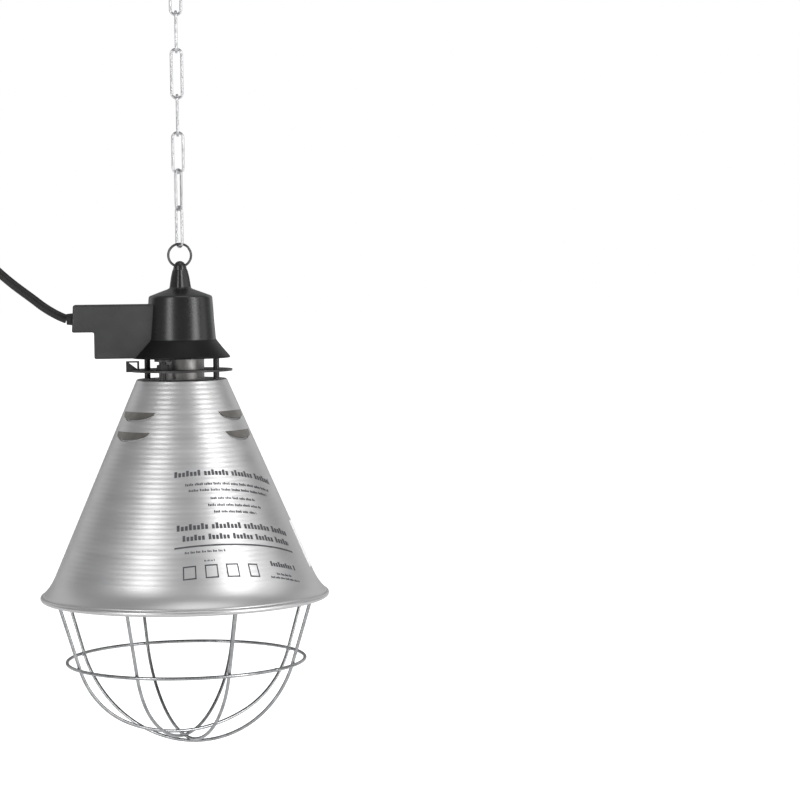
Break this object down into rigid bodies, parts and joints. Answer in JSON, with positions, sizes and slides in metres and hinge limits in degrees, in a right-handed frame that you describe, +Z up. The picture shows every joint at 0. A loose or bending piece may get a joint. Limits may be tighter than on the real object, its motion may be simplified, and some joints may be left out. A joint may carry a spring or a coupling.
{
  "type": "heat lamp fixture",
  "caption": "Hanging heat lamp fixture: spun aluminium shade, black hood with side junction box, pull-down wire guard, chain and hook, and a mains lead coiled at the hook.",
  "frame": {"origin": "where the S-hook hangs: the lowest point of the inside of its upper bend that bears on a nail or bar, taken on the rod's inner side", "axes": "+Z up along the hanging chain and the lamp's axis; the junction box and the lead leave the hood towards -X; the front, seen in the picture, faces -Y"},
  "size_m": [0.2862, 0.21, 0.6842],
  "materials": {
    "spun_aluminium": "satin",
    "black_moulding": "satin",
    "box_moulding": "matte",
    "zinc_steel": "satin",
    "cord_rubber": "satin",
    "white_plastic": "matte",
    "brass": "polished",
    "brown_insulation": "satin",
    "blue_insulation": "satin",
    "porcelain": "gloss",
    "plated_sleeve": "satin",
    "black_steel": "satin",
    "spring_steel": "satin",
    "rivet_aluminium": "satin",
    "tie_plastic": "satin",
    "plug_rubber": "matte",
    "nickel_pins": "polished",
    "ring_steel": "gloss",
    "chain_steel": "gloss",
    "guard_steel": "satin"
  },
  "bodies": {
    "hanger": {"hook": "zinc_steel", "cord_rise": "cord_rubber", "cord_coil": "cord_rubber", "coil_tie": "tie_plastic", "cord_tail": "cord_rubber", "plug_relief": "plug_rubber", "plug_body": "plug_rubber", "plug_pins": "nickel_pins"},
    "link_1": {"chain_link_1": "chain_steel"},
    "link_2": {"chain_link_2": "chain_steel"},
    "link_3": {"chain_link_3": "chain_steel"},
    "link_4": {"chain_link_4": "chain_steel"},
    "link_5": {"chain_link_5": "chain_steel"},
    "link_6": {"chain_link_6": "chain_steel"},
    "link_7": {"chain_link_7": "chain_steel"},
    "ring": {"split_ring": "ring_steel"},
    "lamp": {"shade": "spun_aluminium", "hood": "black_moulding", "junction_box": "box_moulding", "box_cover": "box_moulding", "box_screws": "zinc_steel", "strain_relief": "cord_rubber", "cord_end": "cord_rubber", "cord_clamp": "box_moulding", "clamp_base": "box_moulding", "clamp_screws": "zinc_steel", "terminal_block": "white_plastic", "terminal_screws": "brass", "line_wire": "brown_insulation", "neutral_wire": "blue_insulation", "lampholder_body": "porcelain", "holder_screws": "zinc_steel", "screw_shell": "brass", "centre_contact": "brass", "holder_sleeve": "plated_sleeve", "heat_shield": "black_steel", "posts": "black_steel", "post_nuts": "zinc_steel", "front_bolt": "black_steel", "bolt_nut": "zinc_steel", "guard_clips": "spring_steel", "clip_rivets": "rivet_aluminium", "cord_lead": "cord_rubber"},
    "guard": {"guard_ring": "guard_steel", "guard_hoop": "guard_steel", "guard_wire_1": "guard_steel", "guard_wire_2": "guard_steel", "guard_wire_3": "guard_steel", "guard_wire_4": "guard_steel"}
  },
  "joints": [
    {"name": "link_1_swing", "type": "hinge", "parent": "hanger", "child": "link_1", "pos_m": [0, 0, -0.125], "axis": [0, 1, 0], "range_deg": [-20, 20], "deforming": ["cord_lead"]},
    {"name": "link_2_swing", "type": "hinge", "parent": "link_1", "child": "link_2", "pos_m": [0, 0, -0.1508], "axis": [1, 0, 0], "range_deg": [-20, 20]},
    {"name": "link_3_swing", "type": "hinge", "parent": "link_2", "child": "link_3", "pos_m": [0, 0, -0.1776], "axis": [0, -1, 0], "range_deg": [-20, 20]},
    {"name": "link_4_swing", "type": "hinge", "parent": "link_3", "child": "link_4", "pos_m": [0, 0, -0.2108], "axis": [-1, 0, 0], "range_deg": [-20, 20]},
    {"name": "link_5_swing", "type": "hinge", "parent": "link_4", "child": "link_5", "pos_m": [0, 0, -0.2376], "axis": [0, 1, 0], "range_deg": [-20, 20]},
    {"name": "link_6_swing", "type": "hinge", "parent": "link_5", "child": "link_6", "pos_m": [0, 0, -0.2644], "axis": [1, 0, 0], "range_deg": [-20, 20]},
    {"name": "link_7_swing", "type": "hinge", "parent": "link_6", "child": "link_7", "pos_m": [0, 0, -0.2912], "axis": [-0.5299, -0.848, 0], "range_deg": [-20, 20]},
    {"name": "ring_swing", "type": "hinge", "parent": "link_7", "child": "ring", "pos_m": [0, 0, -0.318], "axis": [-0.5299, 0.848, 0], "range_deg": [-20, 20]},
    {"name": "lamp_swing", "type": "hinge", "parent": "ring", "child": "lamp", "pos_m": [0, 0, -0.33235], "axis": [-1, 0, 0], "range_deg": [-20, 20]},
    {"name": "guard_pull", "type": "slide", "parent": "lamp", "child": "guard", "axis": [0, 0, -1], "range_m": [0, 0.045]}
  ]
}
